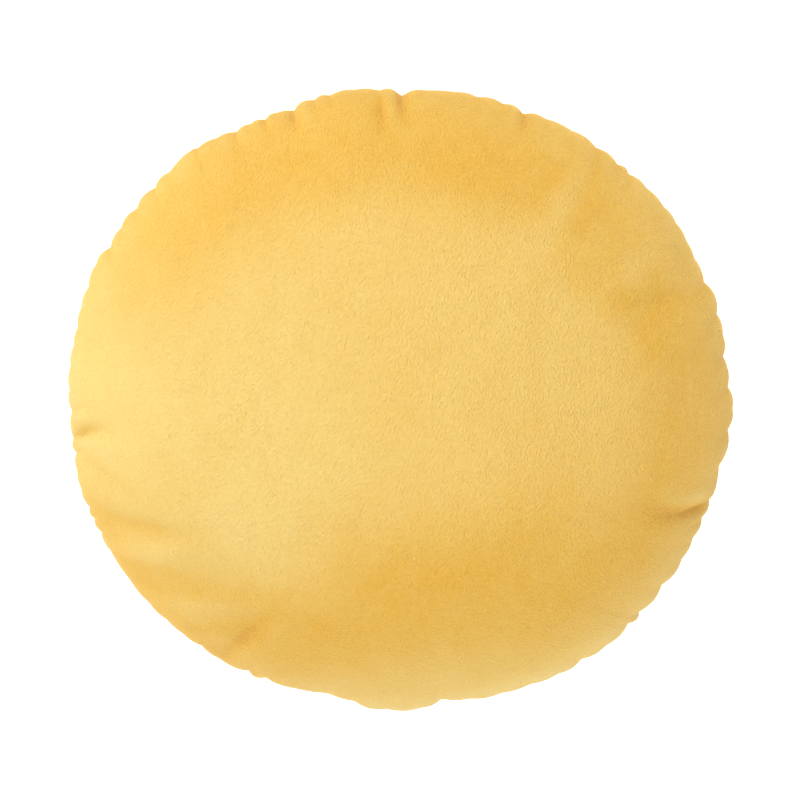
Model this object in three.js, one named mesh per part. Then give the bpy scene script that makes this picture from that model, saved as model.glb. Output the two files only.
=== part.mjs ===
// A round velvet scatter cushion, lying face up. Two round panels of cloth are sewn edge to edge and filled.
// Filling lifts each flat panel into a crown, which leaves its rim longer than the way round the filled
// cushion. The spare rim is taken up in small gathers all along the seam, and in a few deeper tucks.
// Millimetres, +Z up. The origin is on the supporting surface, under the middle of the cushion.
// Azimuths are in degrees from +X, anticlockwise seen from above.
import * as THREE from "three";

// Driving dimensions.
const ACROSS = 400; // filled, from side to side, before the gathers draw the rim in
const THICK = 146; // from the surface to the top of the crown
const SEAM_HEIGHT = 64; // of the seam above the surface
const SEAM_TUCK = 0.5; // how far the stitching holds the seam in behind the swelling panels
const BELLY_DEPTH = 74; // of the lower panel below the seam, before the surface flattens it
const CLOTH = { color: 0xefc468, roughness: 0.95, metalness: 0 };

// The profile of a panel: height = crown * (1 - rho^FLATNESS)^rounding, rho being 1 at the seam.
const FLATNESS = 2.4; // above 2 the middle of the panel is flatter than a ball
const CROWN_ROUNDING = 0.58; // under 1 the upper panel stands up steeply at the seam
const BELLY_ROUNDING = 0.68; // the lower panel leaves the seam less steeply

// The filling is uneven under the upper panel. One row for each hollow: its azimuth, how far out from the
// middle it lies, its depth and its width. A negative depth is a swell.
const HOLLOWS = [
  { at: 288, out: 132, depth: 2.6, across: 90 },
  { at: 36, out: 118, depth: 2.2, across: 80 },
  { at: 8, out: 95, depth: 1.4, across: 70 },
  { at: 222, out: 128, depth: 1.8, across: 60 },
  { at: 150, out: 85, depth: -1.6, across: 130 },
  { at: 325, out: 60, depth: -1.2, across: 110 },
];

// The outline is a circle with a slow unevenness: so many swells round it, their height, and where one peaks.
const OUTLINE_SWELLS = [
  { swells: 3, height: 0.8, peak: 52 },
  { swells: 4, height: 0.8, peak: 41 },
  { swells: 5, height: 0.6, peak: 5 },
];

// Lone bulges of the outline. One row for each: its azimuth, its height and its width in degrees. A bulge of
// negative height is a dent.
const OUTLINE_BULGES = [
  { at: 9, height: -2.4, width: 5 },
  { at: 16, height: -1.6, width: 4 },
  { at: 21, height: 1, width: 4 },
  { at: 28, height: -2.2, width: 6 },
  { at: 37, height: 0.4, width: 6 },
  { at: 58, height: 0.8, width: 5 },
  { at: 77, height: 1.4, width: 7 },
  { at: 101, height: 4, width: 9 },
  { at: 115, height: 1, width: 5 },
  { at: 125, height: 3.4, width: 6 },
  { at: 127.5, height: 1, width: 2 },
  { at: 136, height: 3.6, width: 9 },
  { at: 145, height: 1.4, width: 5 },
  { at: 153, height: 4.2, width: 4 },
  { at: 160, height: 2.4, width: 4 },
  { at: 171, height: 2.2, width: 9 },
  { at: 182, height: 0.9, width: 10 },
  { at: 196, height: 2.4, width: 9 },
  { at: 227, height: -0.8, width: 4 },
  { at: 237, height: -1.4, width: 6 },
  { at: 247, height: -2.4, width: 5 },
  { at: 256, height: -6, width: 6 },
  { at: 278.5, height: -4.4, width: 5 },
  { at: 290, height: -4.4, width: 13 },
  { at: 310, height: -1.4, width: 7 },
  { at: 321, height: -1.6, width: 5 },
  { at: 335, height: -2.6, width: 9 },
  { at: 347, height: -2.2, width: 5 },
];

// Gathers, stretch by stretch round the seam: how far each pulls the seam in, how far its fold runs up the
// panel, and the azimuths of the gathers on that stretch. Between two gathers the cloth swells to a lobe.
const GATHERS = [
  { stretch: "right, sharp", depth: 3.2, reach: 16, at: [350.2, 357, 4.6, 10.6, 18.4, 24.5] },
  { stretch: "right, soft", depth: 0.8, reach: 12, at: [0.8, 14.5, 29.3, 32.6] },
  { stretch: "upper right, sharp", depth: 2.6, reach: 11, at: [48.2, 50.7, 55.5] },
  { stretch: "upper right, soft", depth: 1.1, reach: 11, at: [36.3, 39.8, 44.3, 60.5, 65.5] },
  { stretch: "right of the top, sharp", depth: 2.2, reach: 10, at: [73, 77.4] },
  { stretch: "right of the top, soft", depth: 0.5, reach: 8, at: [81.3, 85.7] },
  { stretch: "left of the top, sharp", depth: 2.6, reach: 11, at: [105, 114, 119.3] },
  { stretch: "left of the top, soft", depth: 1.1, reach: 9, at: [98, 111.6, 116.6, 122.6] },
  { stretch: "upper left, sharp", depth: 3, reach: 13, at: [136.2, 141, 149.2] },
  { stretch: "upper left, soft", depth: 1.7, reach: 11, at: [126.2, 132.5, 145.3, 153, 157] },
  { stretch: "left", depth: 1.3, reach: 14, at: [161, 164.5, 168, 171.6, 176] },
  { stretch: "lower left, sharp", depth: 2.4, reach: 26, at: [180, 188, 198, 200.2, 202.6, 230.5] },
  { stretch: "low on the left, soft", depth: 0.8, reach: 24, at: [191, 194.5, 207, 213, 218.5] },
  { stretch: "lower left, soft", depth: 0.8, reach: 24, at: [223, 227, 235, 250, 255.5] },
  { stretch: "bottom, sharp", depth: 3.4, reach: 36, at: [277.3, 304.5] },
  { stretch: "bottom, soft", depth: 1.2, reach: 34, at: [267, 273.5, 282.5, 288.5, 294, 299.5, 309.5] },
  { stretch: "lower right, sharp", depth: 4, reach: 32, at: [315.4, 318.2, 325] },
  { stretch: "lower right, soft", depth: 1.6, reach: 28, at: [331, 335.5] },
];

// Deeper tucks, one row each: azimuth at the seam, how far it pulls the cloth in, how far its fold runs up
// the panel, how wide it is on its clockwise and anticlockwise side, how far it veers anticlockwise for each
// millimetre along the cloth, how high the spare cloth stands beside it, and the share of its depth that it
// has at the seam. The spare cloth lies on the anticlockwise side, or on the other if its height is negative.
const TUCKS = [
  { at: 69.2, depth: 4.2, reach: 14, clockwise: 6, anticlockwise: 6, veer: 0, ridge: 0, atSeam: 1 },
  { at: 90.2, depth: 5.2, reach: 16, clockwise: 7, anticlockwise: 7, veer: 0, ridge: 0, atSeam: 1 },
  { at: 93.9, depth: 4.2, reach: 26, clockwise: 5, anticlockwise: 12, veer: 0, ridge: -1, atSeam: 0.4 },
  { at: 102.4, depth: 2.4, reach: 9, clockwise: 10, anticlockwise: 6, veer: 0, ridge: 0.4, atSeam: 1 },
  { at: 108.9, depth: 4.2, reach: 14, clockwise: 5, anticlockwise: 10, veer: -0.1, ridge: -0.6, atSeam: 1 },
  { at: 127.6, depth: 0.8, reach: 13, clockwise: 9, anticlockwise: 5, veer: 0, ridge: 0.3, atSeam: 1 },
  { at: 185.2, depth: 8.4, reach: 36, clockwise: 7, anticlockwise: 5, veer: -0.55, ridge: 2.6, atSeam: 0.2 },
  { at: 240.3, depth: 5.4, reach: 24, clockwise: 4, anticlockwise: 4, veer: 0.05, ridge: 1.2, atSeam: 0.7 },
  { at: 243.9, depth: 3.4, reach: 36, clockwise: 6, anticlockwise: 6, veer: 0, ridge: 0.4, atSeam: 0.8 },
  { at: 261, depth: 2.8, reach: 44, clockwise: 8, anticlockwise: 7, veer: 0, ridge: 0.8, atSeam: 0.8 },
  { at: 339.8, depth: 3.2, reach: 24, clockwise: 5, anticlockwise: 5, veer: 0, ridge: 0, atSeam: 1 },
  { at: 343.4, depth: 8, reach: 56, clockwise: 7, anticlockwise: 5, veer: -0.1, ridge: 3.8, atSeam: 0.25 },
];
const WIDEST_HALF_LOBE = 12; // to the middle of the lobe beside a gather
const FOLD_SPREAD = 0.3; // how much wider a fold grows for each millimetre up the panel
const FOLD_FADE = 1.5; // the power at which a fold fades along its reach
const SEAM_ZONE = 6; // up the panel, in which a tuck deepens from its share at the seam
const RIDGE_WIDTH = 0.5; // of the spare cloth beside a tuck, as a share of its distance from the tuck
const SEAM_WANDER = 1.1; // how far the seam wanders up and down between gathers

// Mesh: distances of the rings from the seam along the radius, with how many points each gather gives the
// ring. The rings are close at the seam, where the folds are, and sparse on the plain middle.
const RINGS = [
  { inset: 0.7, points: 4 },
  { inset: 3.2, points: 4 },
  { inset: 8, points: 4 },
  { inset: 15, points: 4 },
  { inset: 25, points: 4 },
  { inset: 38, points: 2 },
  { inset: 54, points: 2 },
  { inset: 74, points: 1 },
  { inset: 98, points: 1 },
  { inset: 126, points: 0.5 },
  { inset: 158, points: 0.5 },
];
const SEAM_POINTS = 4;

const RADIUS = ACROSS / 2;
const CROWN_HEIGHT = THICK - SEAM_HEIGHT;

function radians(degrees) {
  return (degrees * Math.PI) / 180;
}

// Every gather and tuck as one list in order round the seam. A gather is as wide as its half of the lobe on
// either side.
function foldsRoundTheSeam() {
  const folds = TUCKS.map((tuck) => ({ ...tuck }));
  for (const { depth, reach, at } of GATHERS) {
    for (const azimuth of at) {
      folds.push({ at: azimuth, depth, reach, veer: 0, ridge: 0, atSeam: 1 });
    }
  }
  folds.sort((a, b) => a.at - b.at);
  folds.forEach((fold, i) => {
    const next = folds[(i + 1) % folds.length];
    const gap = radians((next.at - fold.at + 360) % 360) * RADIUS;
    const half = Math.min(gap / 2, WIDEST_HALF_LOBE);
    fold.anticlockwise ??= half;
    next.clockwise ??= half;
  });
  return folds;
}

const FOLDS = foldsRoundTheSeam();

// How far one azimuth lies anticlockwise of another, from -180 to 180 degrees.
function turnTo(azimuth, from) {
  return ((azimuth - from + 540) % 360) - 180;
}

function outlineRadius(azimuth) {
  let radius = RADIUS;
  for (const { swells, height, peak } of OUTLINE_SWELLS) {
    radius += height * Math.cos(radians(swells * (azimuth - peak)));
  }
  for (const { at, height, width } of OUTLINE_BULGES) {
    radius += height * Math.exp(-((turnTo(azimuth, at) / width) ** 2));
  }
  return radius;
}

// How far the folds draw the cloth in at a distance from the seam, less the spare cloth beside them.
function foldDepth(azimuth, inset) {
  let drawn = 0;
  const along = Math.hypot(inset, CROWN_HEIGHT * profile(1 - inset / RADIUS, CROWN_ROUNDING).rise);
  for (const { at, depth, reach, clockwise, anticlockwise, veer, ridge, atSeam } of FOLDS) {
    if (inset >= reach) continue;
    const deepened = 1 - (1 - atSeam) * Math.exp(-((inset / SEAM_ZONE) ** 2));
    const fade = deepened * (1 - inset / reach) ** FOLD_FADE;
    const aside = radians(turnTo(azimuth, at)) * RADIUS - veer * along;
    const width = (aside < 0 ? clockwise : anticlockwise) + FOLD_SPREAD * inset;
    drawn += depth * Math.max(0, 1 - Math.abs(aside) / width) ** 2 * fade;
    const crest = (ridge > 0 ? anticlockwise : clockwise) + FOLD_SPREAD * inset;
    const fromCrest = (aside * Math.sign(ridge) - crest) / (RIDGE_WIDTH * crest);
    drawn -= Math.abs(ridge) * Math.exp(-(fromCrest ** 2)) * fade;
  }
  return drawn;
}

// The share of a panel's height at rho, and how fast it falls there.
function profile(rho, rounding) {
  const rise = (1 - rho ** FLATNESS) ** rounding;
  const fall = FLATNESS * rounding * rho ** (FLATNESS - 1) * (1 - rho ** FLATNESS) ** (rounding - 1);
  return { rise, fall };
}

// How far the uneven filling lets the upper panel sink at a place.
function hollowDepth(azimuth, radius) {
  let sunk = 0;
  for (const { at, out, depth, across } of HOLLOWS) {
    const apart = Math.hypot(
      radius * Math.cos(radians(azimuth - at)) - out,
      radius * Math.sin(radians(azimuth - at)),
    );
    sunk += depth * Math.exp(-((apart / (across / 2)) ** 2));
  }
  return sunk;
}

// A point of a panel. The folds push it in square to the panel, and the surface stops the lower panel.
function panelPoint(azimuth, inset, height) {
  const outline = outlineRadius(azimuth);
  const rho = 1 - inset / outline;
  const { rise, fall } = profile(rho, height > 0 ? CROWN_ROUNDING : BELLY_ROUNDING);
  const steepness = Math.atan((Math.abs(height) / outline) * fall);
  const drawn = foldDepth(azimuth, inset);
  const radius = rho * outline - drawn * Math.sin(steepness);
  const lift = Math.abs(height) * rise - drawn * Math.cos(steepness);
  const z = height > 0 ? SEAM_HEIGHT + lift - hollowDepth(azimuth, radius) : Math.max(0, SEAM_HEIGHT - lift);
  return onAzimuth(azimuth, radius, z);
}

function onAzimuth(azimuth, radius, z) {
  return [radius * Math.cos(radians(azimuth)), radius * Math.sin(radians(azimuth)), z];
}

// The seam wanders up between one pair of folds and down between the next.
function seamPoint(azimuth, step) {
  const wander = SEAM_WANDER * Math.sin((Math.PI * step) / SEAM_POINTS);
  return onAzimuth(azimuth, outlineRadius(azimuth) - SEAM_TUCK - foldDepth(azimuth, 0), SEAM_HEIGHT + wander);
}

// The azimuths of a ring with so many points to each fold. The seam's own points fall on the folds and at
// even steps between them, and a ring with fewer points keeps every second, fourth or eighth of those.
function ringAzimuths(points) {
  const all = FOLDS.flatMap((fold, i) => {
    const next = i + 1 < FOLDS.length ? FOLDS[i + 1].at : FOLDS[0].at + 360;
    return Array.from({ length: SEAM_POINTS }, (_, k) => fold.at + ((next - fold.at) * k) / SEAM_POINTS);
  });
  const stride = SEAM_POINTS / points;
  return all.filter((_, i) => i % stride === 0);
}

// Collects points and triangles. A band joins two rings, where the inner has as many points or half as many.
class Shell {
  positions = [];
  triangles = [];

  ring(points) {
    const start = this.positions.length / 3;
    this.positions.push(...points.flat());
    return { start, count: points.length };
  }

  // A side of 1 faces the panel up, and -1 down.
  triangle(a, b, c, side) {
    this.triangles.push(a, side > 0 ? b : c, side > 0 ? c : b);
  }

  band(outer, inner, side) {
    const ratio = outer.count / inner.count;
    for (let i = 0; i < inner.count; i += 1) {
      const in0 = inner.start + i;
      const in1 = inner.start + ((i + 1) % inner.count);
      const outs = Array.from({ length: ratio + 1 }, (_, k) => outer.start + ((i * ratio + k) % outer.count));
      this.triangle(in0, outs[0], outs[1], side);
      if (ratio === 2) this.triangle(in0, outs[1], outs[2], side);
      this.triangle(in0, outs[ratio], in1, side);
    }
  }

  cap(ring, centre, side) {
    for (let i = 0; i < ring.count; i += 1) {
      this.triangle(centre.start, ring.start + i, ring.start + ((i + 1) % ring.count), side);
    }
  }

  geometry() {
    const geometry = new THREE.BufferGeometry();
    geometry.setAttribute("position", new THREE.Float32BufferAttribute(this.positions, 3));
    geometry.setIndex(this.triangles);
    geometry.computeVertexNormals();
    return geometry;
  }
}

function addPanel(shell, seam, height) {
  const side = Math.sign(height);
  let outer = seam;
  for (const { inset, points } of RINGS) {
    const inner = shell.ring(ringAzimuths(points).map((azimuth) => panelPoint(azimuth, inset, height)));
    shell.band(outer, inner, side);
    outer = inner;
  }
  const centre = shell.ring([panelPoint(0, outlineRadius(0), height)]);
  shell.cap(outer, centre, side);
}

function cushionGeometry() {
  const shell = new Shell();
  const seam = shell.ring(ringAzimuths(SEAM_POINTS).map(seamPoint));
  addPanel(shell, seam, CROWN_HEIGHT);
  addPanel(shell, seam, -BELLY_DEPTH);
  const geometry = shell.geometry();
  geometry.computeBoundingBox();
  const middle = geometry.boundingBox.getCenter(new THREE.Vector3());
  return geometry.translate(-middle.x, -middle.y, 0);
}

const velvet = new THREE.MeshStandardMaterial(CLOTH);
const cushion = new THREE.Mesh(cushionGeometry(), velvet);
cushion.name = "cushion";

const part = new THREE.Group();
part.add(cushion);

export default part;
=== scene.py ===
# %% [markdown]
# # A round velvet cushion
#
# The object is a scatter cushion in honey yellow velvet. Two discs of cloth are sewn edge to edge, turned
# right side out and filled with loose fibre. Filling a flat disc makes its rim too long for the way round,
# so the spare rim puckers into small gathers, and here and there into a deeper tuck.
#
# The script starts from a plain solid of the cushion, the frame, which fixes its size and its place. It
# lies face up on a surface at z = 0. Blender works in metres. The cloth's own sizes are easier to read in
# millimetres, so they are kept in millimetres until the mesh is made.

# %% Load the frame and measure it
import math

import bpy
import numpy as np
from mathutils import Matrix, Vector


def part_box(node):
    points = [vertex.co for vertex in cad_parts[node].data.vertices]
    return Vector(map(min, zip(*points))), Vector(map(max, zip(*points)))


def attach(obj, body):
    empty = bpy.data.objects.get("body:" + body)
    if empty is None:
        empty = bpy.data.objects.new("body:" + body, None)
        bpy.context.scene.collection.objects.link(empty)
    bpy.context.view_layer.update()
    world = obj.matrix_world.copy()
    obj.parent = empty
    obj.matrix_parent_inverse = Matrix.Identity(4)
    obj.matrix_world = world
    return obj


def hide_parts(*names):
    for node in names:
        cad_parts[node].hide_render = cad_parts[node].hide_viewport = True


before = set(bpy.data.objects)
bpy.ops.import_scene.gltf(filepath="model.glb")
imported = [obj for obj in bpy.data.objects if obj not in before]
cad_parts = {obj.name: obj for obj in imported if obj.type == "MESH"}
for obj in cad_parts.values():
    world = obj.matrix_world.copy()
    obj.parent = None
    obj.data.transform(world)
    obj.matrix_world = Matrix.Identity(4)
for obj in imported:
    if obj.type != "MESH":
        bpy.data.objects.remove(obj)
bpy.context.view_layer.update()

MM = 0.001
low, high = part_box("cushion")
ACROSS = (high.x - low.x) / MM
THICK = (high.z - low.z) / MM
print(f"the frame's cushion is {ACROSS:.0f} mm across and {THICK:.0f} mm thick")

# %% [markdown]
# ## The profile of a panel
#
# Cut through the middle, a filled panel is flatter than a ball on top and stands up steeply at the seam.
# A superellipse gives that with two numbers. It could also come from inflating a flat disc, but then the
# thickness and the width would be results, and here they are given. The lower panel has the same curve,
# and the surface flattens it where the two meet.

# %% Heights, and the curves of both panels
LOBE_LOSS = 0.8  # mm, how far the folds draw in even the lobes between them
RADIUS = ACROSS / 2 + LOBE_LOSS
SEAM_HEIGHT = 64.0  # mm, of the seam above the surface
SEAM_TUCK = 0.5  # mm, how far the stitching holds the seam in behind the swelling panels
STITCH_WIDTH = 1.6  # mm, along the cloth on either side of the seam
CROWN_HEIGHT = THICK - SEAM_HEIGHT
BELLY_DEPTH = 74.0  # mm, of the lower panel below the seam, before the surface flattens it
FLATNESS = 2.4  # above 2 the middle is flatter than a ball
CROWN_ROUNDING = 0.58  # under 1 the panel stands up steeply at the seam
BELLY_ROUNDING = 0.68  # the lower panel leaves the seam less steeply
JUST_INSIDE = 0.9999  # of the radius; at the seam itself the curve would stand upright
CURVE_SAMPLES = 4000  # along the front panel's curve, closer together near the seam


def profile(rho, rounding):
    """The share of a panel's height at rho, which is 1 at the seam, and how fast it falls there."""
    rho = np.clip(rho, 0, JUST_INSIDE)
    rise = (1 - rho**FLATNESS) ** rounding
    fall = FLATNESS * rounding * rho ** (FLATNESS - 1) * (1 - rho**FLATNESS) ** (rounding - 1)
    return rise, fall


def insets_along_the_cloth(lengths):
    """Turns distances along the cloth from the seam into distances from the seam seen from above."""
    inset = RADIUS * np.linspace(0, 1, CURVE_SAMPLES) ** 2
    height = CROWN_HEIGHT * profile(1 - inset / RADIUS, CROWN_ROUNDING)[0]
    along = np.concatenate([[0], np.cumsum(np.hypot(np.diff(inset), np.diff(height)))])
    return np.interp(lengths, along, inset), along[-1]


HALF_PANEL = insets_along_the_cloth(0)[1]
print(f"a panel measures {2 * HALF_PANEL:.0f} mm along its curve, as its disc does inside the seam allowance")

# %% [markdown]
# ## The gathers and tucks
#
# On the real cushion these come out where the cloth happened to bunch under the presser foot, so they are
# uneven, and a formula with one even spacing would look like a pie crust. They are listed one by one, in the
# frame's own places: one row for each stretch of plain gathers, and one for each deeper tuck. Azimuths are
# degrees from +X, anticlockwise seen from above, and the other sizes are millimetres.

# %% Tables of the folds
GATHERS = [
    # stretch, depth, reach up the panel, azimuths
    ("right, sharp", 3.2, 16, (350.2, 357, 4.6, 10.6, 18.4, 24.5)),
    ("right, soft", 0.8, 12, (0.8, 14.5, 29.3, 32.6)),
    ("upper right, sharp", 2.6, 11, (48.2, 50.7, 55.5)),
    ("upper right, soft", 1.1, 11, (36.3, 39.8, 44.3, 60.5, 65.5)),
    ("right of the top, sharp", 2.2, 10, (73, 77.4)),
    ("right of the top, soft", 0.5, 8, (81.3, 85.7)),
    ("left of the top, sharp", 2.6, 11, (105, 114, 119.3)),
    ("left of the top, soft", 1.1, 9, (98, 111.6, 116.6, 122.6)),
    ("upper left, sharp", 3.0, 13, (136.2, 141, 149.2)),
    ("upper left, soft", 1.7, 11, (126.2, 132.5, 145.3, 153, 157)),
    ("left", 1.3, 14, (161, 164.5, 168, 171.6, 176)),
    ("lower left, sharp", 2.4, 26, (180, 188, 198, 200.2, 202.6, 230.5)),
    ("low on the left, soft", 0.8, 24, (191, 194.5, 207, 213, 218.5)),
    ("lower left, soft", 0.8, 24, (223, 227, 235, 250, 255.5)),
    ("bottom, sharp", 3.4, 36, (277.3, 304.5)),
    ("bottom, soft", 1.2, 34, (267, 273.5, 282.5, 288.5, 294, 299.5, 309.5)),
    ("lower right, sharp", 4.0, 32, (315.4, 318.2, 325)),
    ("lower right, soft", 1.6, 28, (331, 335.5)),
]
TUCKS = [
    # azimuth, depth, reach, width on its clockwise side, width on the other, veer anticlockwise for each mm
    # along the cloth, ridge of spare cloth beside it, which is on the clockwise side if it is under 0, and
    # the share of its depth that it has at the seam
    (69.2, 4.2, 14, 6, 6, 0.0, 0.0, 1.0),
    (90.2, 5.2, 16, 7, 7, 0.0, 0.0, 1.0),
    (93.9, 4.2, 26, 5, 12, 0.0, -1.0, 0.4),
    (102.4, 2.4, 9, 10, 6, 0.0, 0.4, 1.0),
    (108.9, 4.2, 14, 5, 10, -0.1, -0.6, 1.0),
    (127.6, 0.8, 13, 9, 5, 0.0, 0.3, 1.0),
    (185.2, 8.4, 36, 7, 5, -0.55, 2.6, 0.2),
    (240.3, 5.4, 24, 4, 4, 0.05, 1.2, 0.7),
    (243.9, 3.4, 36, 6, 6, 0.0, 0.4, 0.8),
    (261.0, 2.8, 44, 8, 7, 0.0, 0.8, 0.8),
    (339.8, 3.2, 24, 5, 5, 0.0, 0.0, 1.0),
    (343.4, 8.0, 56, 7, 5, -0.1, 3.8, 0.25),
]
WIDEST_HALF_LOBE = 12  # mm, to the middle of the lobe beside a gather
FOLD_SPREAD = 0.3  # mm that a fold widens for each mm up the panel
FOLD_BOTTOM = 0.4  # mm, the radius at the bottom of a fold, at the seam
BOTTOM_SPREAD = 0.11  # mm that the bottom grows rounder for each mm up the panel
SEAM_ZONE = 6.0  # mm up the panel, in which a tuck deepens from its share at the seam
FOLD_FADE = 1.5  # the power at which a fold fades along its reach
RIDGE_WIDTH = 0.5  # of the fold's own width, for the ridge of spare cloth beside a tuck
FOLD_SHADE_WIDTH = 1.7  # mm, on either side of a fold, where its flanks touch and its bottom gets painted shade
RIDGE_HIGHLIGHT = 2.0  # how much painted highlight a ridge gets, against the painted shade of a fold's bottom
LEAN_WIDTH = 40  # mm, on either side of a tuck, over which the cloth leans with it
LEAN_REACH = 70  # mm along the cloth from the seam, where the leaning ends
LEAN_EDGE = 4  # the power that keeps the leaning even until it ends
FLANK_POWER = 2  # a fold's flanks round over into the lobes with this power


def folds_round_the_seam():
    """One row a fold: azimuth, depth, reach, width on either side of it, ridge, share at the seam."""
    rows = [(at, depth, reach, 0, 0, 0, 1) for _, depth, reach, azimuths in GATHERS for at in azimuths]
    rows = sorted(rows + [(*tuck[:5], *tuck[6:]) for tuck in TUCKS])
    azimuths = np.array([row[0] for row in rows])
    gaps = np.radians((np.roll(azimuths, -1) - azimuths) % 360) * RADIUS
    after = np.minimum(gaps / 2, WIDEST_HALF_LOBE)
    before = np.roll(after, 1)
    folds = []
    for (at, depth, reach, clockwise, anticlockwise, *rest), left, right in zip(rows, before, after):
        folds.append((at, depth, reach, clockwise or left, anticlockwise or right, *rest))
    return np.array(folds)


FOLDS = folds_round_the_seam()
FOLD_COUNT = len(FOLDS)
pitch = 2 * math.pi * RADIUS / FOLD_COUNT
print(f"{FOLD_COUNT} folds round the seam, {pitch:.0f} mm apart on average")

# %% [markdown]
# ## Soft unevenness
#
# Loose fibre never fills a cover evenly, and a cushion that has been packed flat keeps a few soft creases.
# Hollows are round dips and swells of the crown. Creases are long shallow troughs and ridges, most of them
# near the lower left rim. They could be sculpted by hand, but sums of bell curves are easy to move and
# have no edge that could catch the light. A depth under 0 is a swell or a ridge.

# %% Tables of hollows, creases and the uneven outline
HOLLOWS = [
    # azimuth, distance from the middle, depth, width
    (288, 132, 2.6, 90),
    (36, 118, 2.2, 80),
    (8, 95, 1.4, 70),
    (222, 128, 1.8, 60),
    (150, 85, -1.6, 130),
    (325, 60, -1.2, 110),
]
CREASES = [
    # azimuth, distance from the middle, depth, length, width, turned anticlockwise from radial
    (189, 176, 1.6, 44, 10, -40),
    (200, 165, 2.8, 50, 12, -20),
    (206, 172, -1.8, 60, 13, -12),
    (211, 168, 2.6, 56, 11, -28),
    (217, 160, 2.6, 66, 13, -32),
    (222, 160, -1.6, 60, 13, -30),
    (227, 172, 1.4, 40, 10, -24),
    (233.8, 166, 2.2, 70, 12, 0),
    (236.8, 150, -1.6, 60, 12, 0),
    (54.5, 189, 1.8, 24, 9, 0),
    (60, 184, 1.2, 40, 11, -30),
    (28, 176, 1.2, 50, 13, -40),
]
OUTLINE_SWELLS = [
    # swells round the outline, height, azimuth of a peak
    (3, 0.8, 52),
    (4, 0.8, 41),
    (5, 0.6, 5),
]
OUTLINE_BULGES = [
    # azimuth, height, width in degrees; a height under 0 is a dent
    (9, -2.4, 5),
    (16, -1.6, 4),
    (21, 1.0, 4),
    (28, -2.2, 6),
    (37, 0.4, 6),
    (58, 0.8, 5),
    (77, 1.4, 7),
    (101, 4.0, 9),
    (115, 1.0, 5),
    (125, 3.4, 6),
    (127.5, 1.0, 2),
    (136, 3.6, 9),
    (145, 1.4, 5),
    (153, 4.2, 4),
    (160, 2.4, 4),
    (171, 2.2, 9),
    (182, 0.9, 10),
    (196, 2.4, 9),
    (227, -0.8, 4),
    (237, -1.4, 6),
    (247, -2.4, 5),
    (256, -6.0, 6),
    (278.5, -4.4, 5),
    (290, -4.4, 13),
    (310, -1.4, 7),
    (321, -1.6, 5),
    (335, -2.6, 9),
    (347, -2.2, 5),
]
soft_forms = len(HOLLOWS) + len(CREASES)
rim_forms = len(OUTLINE_SWELLS) + len(OUTLINE_BULGES)
print(f"{soft_forms} hollows, swells and creases in the crown, {rim_forms} swells and dents round the rim")


def outline_radius(azimuth):
    radius = np.full_like(azimuth, RADIUS)
    for swells, height, peak in OUTLINE_SWELLS:
        radius += height * np.cos(np.radians(swells * (azimuth - peak)))
    for at, height, width in OUTLINE_BULGES:
        radius += height * np.exp(-(((azimuth - at + 180) % 360 - 180) / width) ** 2)
    return radius


def hollow_depth(azimuth, radius):
    sunk = np.zeros_like(azimuth)
    for at, out, depth, across in HOLLOWS:
        turn = np.radians(azimuth - at)
        apart = np.hypot(radius * np.cos(turn) - out, radius * np.sin(turn))
        sunk += depth * np.exp(-((apart / (across / 2)) ** 2))
    return sunk


def crease_depth(azimuth, radius):
    sunk = np.zeros_like(azimuth)
    for at, out, depth, length, width, turned in CREASES:
        turn = np.radians(azimuth - at)
        outward = radius * np.cos(turn) - out
        aside = radius * np.sin(turn)
        along = outward * np.cos(np.radians(turned)) + aside * np.sin(np.radians(turned))
        across = aside * np.cos(np.radians(turned)) - outward * np.sin(np.radians(turned))
        sunk += depth * np.exp(-((2 * along / length) ** 2) - (2 * across / width) ** 2)
    return sunk


def lean(azimuth, along):
    """How far the cloth beside a leaning tuck has turned with it, in degrees of azimuth."""
    moved = np.zeros_like(azimuth)
    for at, *_, veer, _, _ in TUCKS:
        aside = np.radians((azimuth - at + 180) % 360 - 180) * RADIUS
        moved += veer * along * np.exp(-((aside / LEAN_WIDTH) ** 2) - (along / LEAN_REACH) ** LEAN_EDGE)
    return np.degrees(moved / RADIUS)


def fold_depth(azimuth, inset):
    """How far the folds draw the cloth in, less the ridges of spare cloth, and the painted shade along their
    bottoms, less a painted highlight on the ridges.
    """
    drawn = np.zeros_like(azimuth)
    fold_shade = np.zeros_like(azimuth)
    bottom = FOLD_BOTTOM + BOTTOM_SPREAD * inset
    for at, depth, reach, before, after, ridge, at_seam in FOLDS:
        fade = np.clip(1 - inset / reach, 0, 1) ** FOLD_FADE
        fade *= 1 - (1 - at_seam) * np.exp(-((inset / SEAM_ZONE) ** 2))
        aside = np.radians((azimuth - at + 180) % 360 - 180) * RADIUS
        width = np.where(aside < 0, before, after) + FOLD_SPREAD * inset
        blunt = np.hypot(aside, bottom) - bottom
        crest = (after if ridge > 0 else before) + FOLD_SPREAD * inset
        from_crest = (aside * np.sign(ridge) - crest) / (RIDGE_WIDTH * crest)
        drawn += depth * np.clip(1 - blunt / width, 0, 1) ** FLANK_POWER * fade
        raised = abs(ridge) * np.exp(-(from_crest**2)) * fade
        drawn -= raised
        # Painted shade along the bottom of each fold, less a painted highlight on the ridge beside a tuck.
        fold_shade += depth * np.exp(-((aside / (FOLD_SHADE_WIDTH + bottom)) ** 2)) * fade - RIDGE_HIGHLIGHT * raised
    return drawn, fold_shade
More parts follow.
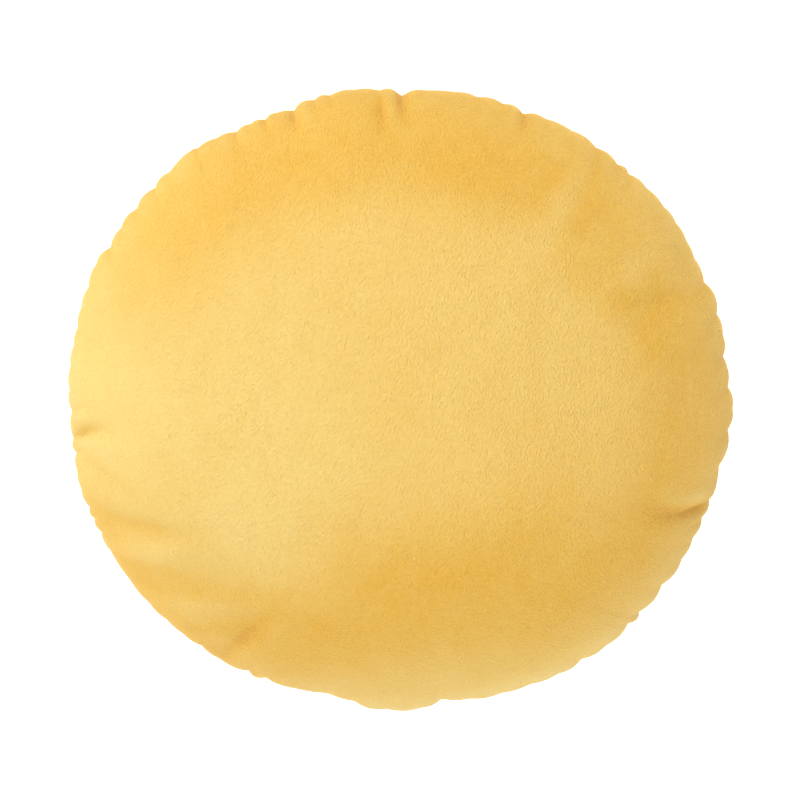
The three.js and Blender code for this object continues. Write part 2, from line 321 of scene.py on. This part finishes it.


# %% [markdown]
# ## How the pile lies, with painted light and shade
#
# Velvet shows every stroke of a hand. Where the pile lies towards the eye it looks deep, and where it lies
# away it looks pale, with soft borders between. The larger patches here are painted light and shade as
# well: paler on the left, left of the middle and at the bottom rim, where light and sheen fall, and deeper
# on the top rim, the lower left rim, below the middle and on the right, where they are weaker. A noise
# could spread such patches by chance, but this cushion has about twenty, so each is one row here, in the
# frame's places. Along folds and creases the colour is painted deeper as shade, deepest at the bottom of a
# fold, and the ridge beside a tuck is painted paler as a highlight. How pale the pile is at each point,
# from 0 to 1, is kept with the mesh, and the material reads it.

# %% Table of the patches of brushing and painted light
BASE_PALENESS = 0.66  # how pale the pile is where no patch changes it
# Each row is partly brushing of the pile and partly painted light, sheen and shade.
BRUSHED_AND_PAINTED_LIGHT = [
    # patch, azimuth, distance from the middle, size outwards, size round, how much paler it is
    ("top rim", 96, 184, 66, 400, -0.43),
    ("right of the top", 74, 160, 50, 60, -0.16),
    ("left", 173, 180, 90, 130, 0.36),
    ("left of the middle", 175, 85, 130, 160, 0.20),
    ("lower left", 219, 100, 62, 90, 0.20),
    ("lower left rim", 214, 192, 30, 150, -0.38),
    ("low rim on the left", 236, 180, 56, 120, -0.30),
    ("low on the left", 241, 142, 60, 100, -0.36),
    ("below the middle", 281, 94, 104, 200, -0.46),
    ("lower right", 322, 150, 60, 150, -0.30),
    ("bottom rim", 285, 192, 34, 240, 0.36),
    ("right of the middle", 345, 95, 120, 160, -0.08),
    ("right", 4, 168, 66, 190, -0.34),
    ("upper right", 40, 165, 60, 110, -0.10),
    ("upper right, long streak", 52, 158, 60, 16, -0.10),
    ("upper right, first fleck", 46, 146, 22, 24, -0.14),
    ("upper right, second fleck", 35, 152, 20, 22, -0.20),
    ("upper right, third fleck", 24, 160, 18, 26, -0.18),
    ("upper right, pale streak", 57, 176, 44, 16, 0.20),
    ("upper right, pale fleck", 38, 174, 30, 16, 0.20),
]
PATCH_EDGE = 1.5  # above 1 a patch is flatter in its middle and firmer at its edge
DEEPEST_PATCH_SUM = 0.20
RELIEF_SHADE = 0.055  # painted shade: how much deeper the colour is for each mm that a fold or a crease is deep
FOLD_BOTTOM_SHADE = 0.06  # painted shade along the bottom of a fold, for each mm of its depth
CREASE_SHADE_SHARE = 2  # how much more painted shade a crease gets than a fold of the same depth
print(f"{len(BRUSHED_AND_PAINTED_LIGHT)} brushed patches")


def how_pale(azimuth, out, relief, fold_shade):
    pale = BASE_PALENESS
    for _, at, middle_out, outwards, round_about, paler in BRUSHED_AND_PAINTED_LIGHT:
        aside = np.radians((azimuth - at + 180) % 360 - 180) * middle_out / (round_about / 2)
        beyond = (out - middle_out) / (outwards / 2)
        pale += paler * np.exp(-((aside**2 + beyond**2) ** PATCH_EDGE))
    pale = np.clip(pale, DEEPEST_PATCH_SUM, 1)
    # Painted shade along folds and creases, less a painted highlight on ridges.
    return np.clip(pale - RELIEF_SHADE * relief - FOLD_BOTTOM_SHADE * fold_shade, 0, 1)


# %% [markdown]
# ## The mesh
#
# The folds run square to the seam, so the mesh near the seam is a grid of rings and columns, with a column
# on every fold. The columns would crowd at the middle. There a square grid is pressed into a disc instead:
# its nth ring has 8n points, which meets the columns where there are as many. Further out, a ring has half
# as many points as the ring outside it where the columns have come too close.

# %% Rings of points
COLUMNS = 4  # from one fold to the next, at the seam
FINE_TO = 66  # mm along the cloth from the seam, with all columns
CORNER_POINTS = 8  # a square's nth ring has this many times n points
DISC_RINGS = FOLD_COUNT * COLUMNS // 2 // CORNER_POINTS
DISC_SHARE = 0.56  # of the panel's radius, taken by the disc
CLOSER = 0.6  # how far the columns beside a fold move towards it
RING_STEP = 1.9  # mm, to the first ring
RING_GROWTH = 1.2  # the rings' distances grow with this power
MOST_RINGS = 60  # more than fit in FINE_TO
COARSE_RINGS = 5
fine = RING_STEP * np.arange(1, MOST_RINGS) ** RING_GROWTH
fine = fine[fine < FINE_TO]
disc_edge = HALF_PANEL * (1 - DISC_SHARE)
coarse = np.linspace(fine[-1], disc_edge, COARSE_RINGS + 2)[1:-1]
print(f"{len(fine)} fine rings, {len(coarse)} coarse, and a disc of {DISC_RINGS} rings")


def azimuths(count):
    """Azimuths of a ring of points that has a point on every fold, or on every second fold."""
    edges = np.append(FOLDS[:, 0], FOLDS[0, 0] + 360)
    steps = np.arange(count) * FOLD_COUNT / count
    nearer = steps - CLOSER * np.sin(2 * math.pi * steps) / (2 * math.pi)
    return np.interp(nearer, np.arange(FOLD_COUNT + 1), edges)


def panel_ring(azimuth, along, height):
    """A ring's points in mm, along the cloth from the seam, and how pale each is, with painted light and
    shade. A height under 0 faces down.
    """
    inset = insets_along_the_cloth(along)[0]
    drawn, fold_shade = fold_depth(azimuth, inset)
    leaning = azimuth + lean(azimuth, along)
    outline = outline_radius(leaning)
    rho = 1 - inset / RADIUS
    rise, fall = profile(rho, CROWN_ROUNDING if height > 0 else BELLY_ROUNDING)
    steepness = np.arctan(abs(height) / outline * fall)
    radius = rho * outline - drawn * np.sin(steepness)
    radius -= SEAM_TUCK * np.exp(-((along / STITCH_WIDTH) ** 2))
    lift = abs(height) * rise - drawn * np.cos(steepness)
    creased = crease_depth(leaning, radius)
    if height > 0:
        z = SEAM_HEIGHT + lift - hollow_depth(leaning, radius) - creased
    else:
        z = np.maximum(0, SEAM_HEIGHT - lift)
    turn = np.radians(leaning)
    ring = np.stack([radius * np.cos(turn), radius * np.sin(turn), z], axis=1)
    return ring, how_pale(leaning, radius, drawn + CREASE_SHADE_SHARE * creased, fold_shade)


# %% Join the rings into one closed mesh
FOLD_SHARPNESS = 0.6  # of a fold's edge at the seam, from 0 for round to 1 for sharp
EDGE_FADE = 2  # the power at which that sharpness fades along a fold's reach
points, patterns, nap_and_painted_light_rings, faces, creased_edges = [], [], [], [], {}


def add_ring(azimuth, along, height):
    start = sum(len(ring) for ring in points)
    ring, nap_and_painted_light = panel_ring(azimuth, along, height)
    points.append(ring)
    nap_and_painted_light_rings.append(nap_and_painted_light)
    cut = (HALF_PANEL - along) / np.maximum(1, np.hypot(ring[:, 0], ring[:, 1]))
    patterns.append(ring * np.stack([cut, cut, 0 * cut], axis=1))
    return np.arange(start, start + len(azimuth))


def add_face(*corners, side):
    faces.append(corners if side > 0 else corners[::-1])


def crease_folds(outer, inner, along):
    """Notes the edges that run along the folds, so that rounding the mesh leaves them sharp."""
    on_the_outer = outer[:: len(outer) // FOLD_COUNT]
    on_the_inner = inner[:: len(inner) // FOLD_COUNT]
    for (_, _, reach, *_), low_end, high_end in zip(FOLDS, on_the_outer, on_the_inner):
        if along < reach:
            sharpness = FOLD_SHARPNESS * (1 - along / reach) ** EDGE_FADE
            creased_edges[int(low_end), int(high_end)] = sharpness


def add_band(outer, inner, side):
    ratio = len(outer) // len(inner)
    for i in range(len(inner)):
        here, after = inner[i], inner[(i + 1) % len(inner)]
        rim = [outer[(i * ratio + k) % len(outer)] for k in range(ratio + 1)]
        if ratio == 1:
            add_face(here, rim[0], rim[1], after, side=side)
        else:
            add_face(here, rim[0], rim[1], side=side)
            add_face(here, rim[1], rim[2], after, side=side)


def square_ring(n):
    """The places of a square's nth ring, anticlockwise from the middle of its right side."""
    side = range(-n, n)
    ring = [(n, j) for j in side] + [(-j, n) for j in side]
    ring += [(-n, -j) for j in side] + [(j, -n) for j in side]
    return ring[n:] + ring[:n]


def add_disc(edge, height):
    """The middle of a panel: a square grid pressed into a disc, out to a ring that is there already."""
    side = 1 if height > 0 else -1
    place = dict(zip(square_ring(DISC_RINGS), edge))
    for n in range(DISC_RINGS - 1, 0, -1):
        along = HALF_PANEL - (HALF_PANEL - disc_edge) * n / DISC_RINGS
        ring = add_ring(azimuths(CORNER_POINTS * n), along, height)
        place.update(zip(square_ring(n), ring))
    place[0, 0] = add_ring(np.zeros(1), HALF_PANEL, height)[0]
    for i in range(-DISC_RINGS, DISC_RINGS):
        for j in range(-DISC_RINGS, DISC_RINGS):
            add_face(place[i, j], place[i + 1, j], place[i + 1, j + 1], place[i, j + 1], side=side)


def add_panel(seam, height):
    side = 1 if height > 0 else -1
    outer = seam
    for lengths, count in ((fine, 1), (coarse, 2), ([disc_edge], 2)):
        azimuth = azimuths(FOLD_COUNT * COLUMNS // count)
        for along in lengths:
            inner = add_ring(azimuth, along, height)
            add_band(outer, inner, side)
            crease_folds(outer, inner, along)
            outer = inner
    add_disc(outer, height)


seam = add_ring(azimuths(FOLD_COUNT * COLUMNS), 0.0, CROWN_HEIGHT)
add_panel(seam, CROWN_HEIGHT)
add_panel(seam, -BELLY_DEPTH)
places = np.concatenate(points)
flat_places = np.concatenate(patterns)
box_middle = (places.max(0) + places.min(0)) / 2
places[:, :2] -= box_middle[:2]
print(f"{len(places)} points and {len(faces)} faces")

# %% Make the Blender object
cover_mesh = bpy.data.meshes.new("velvet_cover")
cover_mesh.from_pydata((places * MM).tolist(), [], [[int(i) for i in face] for face in faces])
cover_mesh.polygons.foreach_set("use_smooth", [True] * len(cover_mesh.polygons))
crease = cover_mesh.attributes.new("crease_edge", "FLOAT", "EDGE")
for edge in cover_mesh.edges:
    low_end, high_end = sorted(edge.vertices)
    crease.data[edge.index].value = creased_edges.get((low_end, high_end), 0.0)
# How pale the pile is at each point, with painted light, sheen and shade in it.
nap_and_painted_light = cover_mesh.attributes.new("nap_and_painted_light", "FLOAT", "POINT")
nap_and_painted_light.data.foreach_set("value", np.concatenate(nap_and_painted_light_rings))
cover = bpy.data.objects.new("velvet_cover", cover_mesh)
bpy.context.scene.collection.objects.link(cover)
print(f"{len(creased_edges)} edges along the folds stay sharp when the mesh is rounded")

# %% [markdown]
# ## The filling presses the cloth out
#
# So far the lobes between the folds have drawn shapes. In the real cover the filling presses each lobe
# out until the cloth is taut, and the cloth is held only where it is sewn. Blender's cloth solver does
# that. The cloth wants to be the flat disc that was cut, the seam and the patch on the surface stay where
# they are, and the filling is a pressure from inside. Eight short steps bring most of the movement, so it
# stops there. A level of subdivision then rounds the faces, and leaves the folds' own edges sharper.

# %% Run the cloth solver
PRESS_STEPS = 8
MOST_MOVE = 8.0  # mm, so that no point leaves the frame
LYING_BELOW = 0.01  # mm above the surface
CLOTH = {
    "quality": 6,
    "mass": 0.2,
    "tension_stiffness": 15,
    "compression_stiffness": 60,
    "shear_stiffness": 5,
    "bending_stiffness": 0.5,
    "use_pressure": True,
    "uniform_pressure_force": 8.0,
    "vertex_group_mass": "sewn_or_lying",
}
held = cover.vertex_groups.new(name="sewn_or_lying")
lying = np.nonzero(places[:, 2] < LYING_BELOW)[0]
held.add([int(i) for i in seam] + [int(i) for i in lying], 1.0, "REPLACE")
cover.shape_key_add(name="drawn")
pattern = cover.shape_key_add(name="pattern")
pattern.data.foreach_set("co", (flat_places * MM).ravel())
cloth = cover.modifiers.new("filling", "CLOTH")
for name, value in CLOTH.items():
    setattr(cloth.settings, name, value)
cloth.settings.effector_weights.gravity = 0
cloth.settings.rest_shape_key = pattern
cloth.collision_settings.use_collision = False
cloth.point_cache.frame_end = PRESS_STEPS
for step in range(1, PRESS_STEPS + 1):
    bpy.context.scene.frame_set(step)
solved = cover.evaluated_get(bpy.context.evaluated_depsgraph_get())
pressed = np.empty(places.size)
solved.data.vertices.foreach_get("co", pressed)
move = pressed.reshape(-1, 3) / MM - places
distance = np.linalg.norm(move, axis=1)
print(f"the filling moves the cloth {distance.mean():.1f} mm, at most {distance.max():.1f} mm")
places += move * np.minimum(1, MOST_MOVE / np.maximum(distance, MOST_MOVE))[:, None]
places[:, 2] = np.maximum(0, places[:, 2])
cover.modifiers.remove(cloth)
cover.shape_key_clear()
cover_mesh.vertices.foreach_set("co", (places * MM).ravel())
cover_mesh.update()

# %% Subdivide
subdivide = cover.modifiers.new("subdivide", "SUBSURF")
subdivide.levels = subdivide.render_levels = 1
print(f"{len(cover_mesh.polygons)} faces, and each becomes as many as it has corners")

# %% [markdown]
# ## Velvet
#
# Velvet is woven with a second set of threads that is cut into a dense, short pile. Seen end on, a pile
# takes in light and looks deep and saturated. Seen from the side, it shows the flanks of the fibres and
# shines. The Principled shader's sheen does the second at the rim. The colour kept with the mesh paints
# the first, together with painted light and shade: it picks a colour between a painted shade at the bottom
# of a fold, deep pile, and pale pile that also stands for painted sheen and light. Fine noise over that
# makes the tufts, which lie a little aslant, and a coarser one the unevenness a hand leaves. Hair would be
# nearer to real pile, but at this distance its threads are finer than the picture's points.

# %% Colour helper and node helper
def linear(hex_colour):
    """An sRGB hex colour as the linear values that Blender works in."""
    parts = [int(hex_colour[i : i + 2], 16) / 255 for i in (1, 3, 5)]
    return [p / 12.92 if p <= 0.04045 else ((p + 0.055) / 1.055) ** 2.4 for p in parts] + [1.0]


def add_node(tree, kind, settings=None, inputs=None, links=None):
    """Adds a node, sets its properties and inputs, and links its inputs from (node, output) pairs."""
    node = tree.nodes.new(kind)
    for name, value in (settings or {}).items():
        setattr(node, name, value)
    for name, value in (inputs or {}).items():
        node.inputs[name].default_value = value
    for name, (source, output) in (links or {}).items():
        tree.links.new(source.outputs[output], node.inputs[name])
    return node


# %% The velvet material
# Brushed polyester velvet: rough and matt, with a warm sheen where the pile is seen from the side.
VELVET = {
    "Roughness": 0.62,
    "IOR": 1.5,
    "Specular IOR Level": 0.32,
    "Sheen Weight": 0.52,
    "Sheen Roughness": 0.6,
    "Sheen Tint": linear("#ffdc78"),
}
velvet = bpy.data.materials.new("polyester_velvet_brushed")
velvet.use_nodes = True
tree = velvet.node_tree
shader = tree.nodes["Principled BSDF"]
for name, value in VELVET.items():
    shader.inputs[name].default_value = value
print(f"velvet with an IOR of {VELVET['IOR']} and a roughness of {VELVET['Roughness']}")

# %% Tufts and the marks of a hand
# A real tuft is about 0.3 mm across, too fine for the picture, so the tufts are drawn coarser.
TUFT_ACROSS = 1.1 * MM
TUFT_LONG = 2.0 * MM
TUFT_HEIGHT = 2.0 * MM  # of the bump
TUFT_TURN = math.radians(-20)  # aslant, from the top edge to the right
TUFT_CONTRAST = 0.55
MARK_ACROSS = 14 * MM
MARK_LONG = 30 * MM
MARK_CONTRAST = 0.30
TUFT_DETAIL = 2.0
MARK_DETAIL = 3.0
NOISE_ROUGHNESS = 0.55
place = add_node(tree, "ShaderNodeTexCoord")


def stretched_noise(across, long, turn, detail):
    """Noise in cells that are longer along y than across it."""
    stretched = add_node(
        tree,
        "ShaderNodeMapping",
        settings={"vector_type": "TEXTURE"},
        inputs={"Scale": (across, long, across), "Rotation": (0, 0, turn)},
        links={"Vector": (place, "Object")},
    )
    return add_node(
        tree,
        "ShaderNodeTexNoise",
        inputs={"Scale": 1.0, "Detail": detail, "Roughness": NOISE_ROUGHNESS},
        links={"Vector": (stretched, "Vector")},
    )


tufts = stretched_noise(TUFT_ACROSS, TUFT_LONG, TUFT_TURN, TUFT_DETAIL)
marks = stretched_noise(MARK_ACROSS, MARK_LONG, 0, MARK_DETAIL)
# Reads the paleness kept with the mesh, which carries painted light and shade.
brushed_and_painted_light = add_node(tree, "ShaderNodeAttribute", settings={"attribute_name": "nap_and_painted_light"})


def add_contrast(paleness, noise, contrast):
    """Adds a noise, taken from its middle value, to how pale the pile is."""
    centred = add_node(
        tree,
        "ShaderNodeMath",
        settings={"operation": "MULTIPLY_ADD"},
        inputs={1: contrast, 2: -contrast / 2},
        links={0: (noise, "Fac")},
    )
    return add_node(tree, "ShaderNodeMath", links={0: paleness, 1: (centred, "Value")})


# %% Colours, bump, and the cover gets its velvet
FOLD_SHADE_COLOUR = linear("#c98f27")  # painted shade at the bottom of a fold
DEEP_COLOUR = linear("#d09d31")  # deep pile, where the patches paint less light and sheen
PALE_SHEEN_COLOUR = linear("#dbbd71")  # pale pile, which also stands for painted sheen and light
DEEP_AT = 0.12  # of the way from the painted shade of a fold's bottom to the palest pile
marked = add_contrast((brushed_and_painted_light, "Fac"), marks, MARK_CONTRAST)
tufted = add_contrast((marked, "Value"), tufts, TUFT_CONTRAST)
ramp = add_node(tree, "ShaderNodeValToRGB", links={"Fac": (tufted, "Value")})
ramp.color_ramp.elements[0].color = FOLD_SHADE_COLOUR
ramp.color_ramp.elements[1].color = PALE_SHEEN_COLOUR
ramp.color_ramp.elements.new(DEEP_AT).color = DEEP_COLOUR
tree.links.new(ramp.outputs["Color"], shader.inputs["Base Color"])
bump = add_node(
    tree,
    "ShaderNodeBump",
    inputs={"Strength": 1.0, "Distance": TUFT_HEIGHT},
    links={"Height": (tufts, "Fac")},
)
tree.links.new(bump.outputs["Normal"], shader.inputs["Normal"])
cover.data.materials.append(velvet)
print(f"the velvet is made with {len(tree.nodes)} nodes")

# %% Hand the piece to the frame
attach(cover, "root")
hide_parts("cushion")
print(f"{cover.name} stands for the frame's cushion")

# %% [markdown]
# ## Floor, light and camera
#
# Product photographs on white are taken over white paper, lit until the paper burns out. A glow in the
# paper does the same here and keeps the cushion's shadow from showing. The light comes mostly from a large
# softbox high on the left, and weaker ones low round the cushion fill in the rim. The camera stands well
# back and looks down at the face, tipped a little towards the top edge, so the cushion shows slightly
# wider than high.

# %% Floor
# Matt white paper: rough, with no shine of its own, and lit by a faint glow instead of more lamps.
PAPER = {
    "Base Color": linear("#f7f7f7"),
    "Roughness": 0.9,
    "Emission Color": (1, 1, 1, 1),
    "Emission Strength": 0.6,
}
FLOOR_HALF = 3.0  # m
floor_mesh = bpy.data.meshes.new("floor")
corners = [(x * FLOOR_HALF, y * FLOOR_HALF, 0) for x, y in ((-1, -1), (1, -1), (1, 1), (-1, 1))]
floor_mesh.from_pydata(corners, [], [(0, 1, 2, 3)])
floor = bpy.data.objects.new("floor", floor_mesh)
bpy.context.scene.collection.objects.link(floor)
paper = bpy.data.materials.new("matt_white_paper")
paper.use_nodes = True
paper_shader = paper.node_tree.nodes["Principled BSDF"]
for name, value in PAPER.items():
    paper_shader.inputs[name].default_value = value
floor.data.materials.append(paper)
print(f"the paper is {2 * FLOOR_HALF:.0f} m wide")

# %% Light
WORLD_STRENGTH = 0.15
world = bpy.data.worlds.new("studio")
bpy.context.scene.world = world
world.use_nodes = True
world.node_tree.nodes["Background"].inputs["Color"].default_value = (1, 1, 1, 1)
world.node_tree.nodes["Background"].inputs["Strength"].default_value = WORLD_STRENGTH

SOFTBOX_DISTANCE = 2.2  # m, from the middle of the cushion
SOFTBOX_SIZE = 1.1  # m
SOFTBOXES = [
    # name, direction from the cushion, watts
    ("main_high_left", (-0.38, -0.1, 0.92), 50.5),
    ("low_upper_left", (-0.6, 0.65, 0.4), 12.8),
    ("low_top", (0, 0.93, 0.35), 22.5),
    ("low_right", (0.93, 0, 0.35), 21.0),
    ("low_bottom", (0, -0.93, 0.35), 9.2),
]
middle = Vector((0, 0, THICK * MM / 2))
for name, direction, watts in SOFTBOXES:
    lamp = bpy.data.lights.new(name, "AREA")
    lamp.shape = "SQUARE"
    lamp.size = SOFTBOX_SIZE
    lamp.energy = watts
    holder = bpy.data.objects.new(name, lamp)
    holder.location = middle + Vector(direction).normalized() * SOFTBOX_DISTANCE
    holder.rotation_euler = (middle - holder.location).to_track_quat("-Z", "Y").to_euler()
    bpy.context.scene.collection.objects.link(holder)
print(f"{len(SOFTBOXES)} softboxes, {sum(watts for _, _, watts in SOFTBOXES):.0f} W in all")

# %% Camera
CAMERA_TILT = math.radians(21.0)  # from straight above, towards the cushion's top edge
CAMERA_DISTANCE = 2.0  # m
AIM_ABOVE = 0.0088  # m, up the picture from the middle of the cushion's box
AIM_LEFT = 0.0005  # m
WIDTH_SHARE = 666 / 800  # of the picture, taken by the cushion
SENSOR = 36  # mm
away = Vector((0, math.sin(CAMERA_TILT), math.cos(CAMERA_TILT)))
up = Vector((0, math.cos(CAMERA_TILT), -math.sin(CAMERA_TILT)))
right = up.cross(away)
camera_data = bpy.data.cameras.new("camera")
camera_data.sensor_width = SENSOR
camera_data.lens = SENSOR * CAMERA_DISTANCE / (ACROSS * MM / WIDTH_SHARE)
camera = bpy.data.objects.new("camera", camera_data)
bpy.context.scene.collection.objects.link(camera)
turned = Matrix((right, up, away)).transposed()
aim = middle + up * AIM_ABOVE - right * AIM_LEFT
camera.matrix_world = Matrix.Translation(aim + away * CAMERA_DISTANCE) @ turned.to_4x4()
bpy.context.scene.camera = camera
bpy.context.scene.view_settings.view_transform = "Standard"
print(f"the camera is {CAMERA_DISTANCE:.1f} m away, with a {camera_data.lens:.0f} mm lens")
